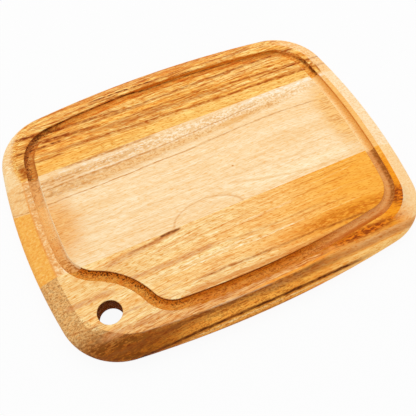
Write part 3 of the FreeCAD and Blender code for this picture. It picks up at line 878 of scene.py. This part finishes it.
def dress_front_groove(wood):
    """The groove in the front plank: dark along its inner edge from pores and painted shade, with painted
    shade on its inner wall towards the left and on its outer wall towards the right, and paler at the right.
    """
    to_right = wood.smooth(wood.x, 30, 95)
    to_left = wood.opposite(to_right)
    wood.tint(wood.both(wood.in_groove, to_left), "left of the groove")
    wood.tint(wood.both(wood.in_groove, to_right), "right of the groove")
    outer_half = wood.both(wood.in_groove, wood.smooth(wood.outward, 0.25, -0.3), to_right)
    wood.tint(wood.both(outer_half, wood.smooth(wood.x, 145, 110, 0.2, 0.95)), "outer half at the right")
    inner_side = wood.both(wood.in_groove, wood.smooth(wood.outward, -0.1, 0.35), to_left)
    wood.tint(wood.both(inner_side, wood.rough, 0.6), "inner side at the left")
    # Painted shade on the inner wall towards the left, which faces the front, broken up by the mottle
    wood.tint(wood.both(wood.inner_wall, wood.rough, to_left), "painted shade on the left of the inner wall")
    # A dark line along the inner edge: pores in the wood with painted shade
    inner_edge = wood.both(wood.inner_wall, wood.edge)
    wood.tint(wood.both(inner_edge, wood.smooth(wood.x, 80, -10, 0.2, 1.0)), "inner edge")
    dotted = wood.both(wood.in_groove, wood.dots())
    wood.tint(wood.both(dotted, wood.smooth(wood.x, 90, 40, 0.0, 0.5)), "dots in the groove")
    outer_edge = wood.both(wood.outer_wall, wood.edge)
    wood.tint(wood.both(outer_edge, wood.smooth(wood.x, 120, 90, 0.0, 0.7)), "outer edge")
    # Painted shade on the outer wall towards the right, which faces in, broken up by the mottle
    right_wall = wood.both(wood.outer_wall, wood.smooth(wood.x, 125, 140))
    wood.tint(wood.both(right_wall, wood.rough), "painted shade on the right of the outer wall")


def dress_sweep(wood):
    """The groove's sweep round the hole, and a golden line on the land in front of the groove."""
    sweep = wood.both(wood.in_groove, wood.smooth(wood.x, -60, -85))
    wood.tint(wood.both(sweep, wood.smooth(wood.outward, 0.45, 0.1, 0.0, 0.9)), "sweep")
    on_line = wood.both(wood.smooth(wood.away(wood.outside, -6.7), 1.3, 0.6), wood.smooth(wood.y, -108, -112))
    along_front = wood.band(wood.x, -80, -60, 80, 110)
    wood.tint(wood.both(on_line, along_front, wood.rough), "line on the land")
    wood.tint(wood.both(sweep, wood.smooth(wood.pebbles, 0.46, 0.36, 0.0, 0.7)), "pebbles in the sweep")
    more_at_inner_side = wood.smooth(wood.outward, -0.2, 0.5, 0.35, 1.0)
    wood.tint(wood.both(sweep, wood.specks, more_at_inner_side), "specks in the sweep")


def dress_hole(wood):
    """The hanging hole's wall, painted darker as shade inside the hole, with spots in the wood that are fewer
    further down.
    """
    from_hole = wood.measure("DISTANCE", wood.join(wood.x, wood.y, 0.0), HOLE_CENTRE)
    near = wood.smooth(from_hole, HOLE_RADIUS + 2.4, HOLE_RADIUS + 0.9)
    in_hole = wood.both(near, wood.smooth(wood.depth, 0.3, 0.9))
    # Painted shade: the wall inside the hole is painted a darker brown
    wood.tint(in_hole, "hole")
    wood.tint(wood.both(in_hole, wood.rough, wood.smooth(wood.depth, 12, 4, 0.3, 1.0)), "spots in the hole")


def dress_planks():
    """Gives each plank its own wood."""
    looks = {"back_stave": dark_wood(), "middle_stave": pale_wood(), "front_stave": honey_wood()}
    for node, material in looks.items():
        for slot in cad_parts[node].material_slots:
            slot.material = material


# The camera: where it stands and the point on the top that it looks at, in metres, with the lens
# and sensor in millimetres and its roll in degrees
CAMERA_PLACE = (-0.14661, -0.29040, 0.51178)
CAMERA_AIM = (-0.01641, -0.03524, 0.0195)
CAMERA_ROLL = 1.616
LENS = 55.23
SENSOR = 36.0


def make_camera():
    data = bpy.data.cameras.new("camera")
    data.lens = LENS
    data.sensor_width = SENSOR
    camera = bpy.data.objects.new("camera", data)
    bpy.context.collection.objects.link(camera)
    look = Vector(CAMERA_AIM) - Vector(CAMERA_PLACE)
    turn = look.to_track_quat("-Z", "Y").to_matrix().to_4x4()
    roll = Matrix.Rotation(math.radians(CAMERA_ROLL), 4, "Z")
    camera.matrix_world = Matrix.Translation(CAMERA_PLACE) @ turn @ roll
    bpy.context.scene.camera = camera


# Light: a soft box behind and to the right, in metres and watts, and an even white surround that is
# brighter where it is seen than where it lights the board
KEY_PLACE = (0.35, 0.85, 1.6)
KEY_SIZE = 1.4
KEY_POWER = 11.0
SURROUND = 0.78
BACKDROP = 0.98

# The floor, in metres, with its colours and how much of it glows where it is seen
FLOOR_SIZE = 12.0
FLOOR_COLOUR = linear((253, 253, 253))
FLOOR_GREY = (0.9, 0.9, 0.9, 1.0)
FLOOR_GREY_SHARE = 0.04
FLOOR_CLOUD_SIZE = (0.4, 0.4, 0.4)
FLOOR_ROUGHNESS = 0.9
FLOOR_GLOW = 0.95


def make_key():
    data = bpy.data.lights.new("soft_box", "AREA")
    data.shape = "SQUARE"
    data.size = KEY_SIZE
    data.energy = KEY_POWER
    lamp = bpy.data.objects.new("soft_box", data)
    bpy.context.collection.objects.link(lamp)
    turn = (-Vector(KEY_PLACE)).to_track_quat("-Z", "Y").to_matrix().to_4x4()
    lamp.matrix_world = Matrix.Translation(KEY_PLACE) @ turn


def make_surround():
    """White where it is seen or mirrored, and dimmer where it lights the board."""
    world = bpy.data.worlds.new("surround")
    world.use_nodes = True
    nodes = world.node_tree.nodes
    links = world.node_tree.links
    path = nodes.new("ShaderNodeLightPath")
    seen = path.outputs["Is Camera Ray"]
    for name in ("Is Glossy Ray", "Is Transmission Ray"):
        either = nodes.new("ShaderNodeMath")
        either.operation = "MAXIMUM"
        links.new(seen, either.inputs[0])
        links.new(path.outputs[name], either.inputs[1])
        seen = either.outputs[0]
    level = nodes.new("ShaderNodeMapRange")
    level.inputs["To Min"].default_value = SURROUND
    level.inputs["To Max"].default_value = BACKDROP
    links.new(seen, level.inputs["Value"])
    background = nodes["Background"]
    background.inputs["Color"].default_value = (1.0, 1.0, 1.0, 1.0)
    links.new(level.outputs[0], background.inputs["Strength"])
    bpy.context.scene.world = world


def make_floor():
    mesh = bpy.data.meshes.new("floor")
    half = FLOOR_SIZE / 2
    corners = [(-half, -half, 0), (half, -half, 0), (half, half, 0), (-half, half, 0)]
    mesh.from_pydata(corners, [], [(0, 1, 2, 3)])
    floor = bpy.data.objects.new("floor", mesh)
    bpy.context.collection.objects.link(floor)
    graph = Graph("floor")
    place = graph.add("ShaderNodeTexCoord").outputs["Object"]
    clouds = graph.math("MULTIPLY", graph.noise(place, FLOOR_CLOUD_SIZE), FLOOR_GREY_SHARE)
    colour = graph.mix(clouds, FLOOR_COLOUR, FLOOR_GREY)
    graph.feed(graph.shader.inputs["Base Color"], colour)
    graph.feed(graph.shader.inputs["Roughness"], FLOOR_ROUGHNESS)
    graph.feed(graph.shader.inputs["Specular IOR Level"], 0.0)
    path = graph.add("ShaderNodeLightPath")
    glow = graph.add("ShaderNodeEmission", (colour, 1.0)).outputs[0]
    share = graph.math("MULTIPLY", path.outputs["Is Camera Ray"], FLOOR_GLOW)
    surface = graph.add("ShaderNodeMixShader", (share, graph.shader.outputs[0], glow))
    graph.links.new(surface.outputs[0], graph.nodes["Material Output"].inputs["Surface"])
    mesh.materials.append(graph.material)


dress_planks()
make_camera()
make_key()
make_surround()
make_floor()
bpy.context.scene.view_settings.view_transform = "Standard"
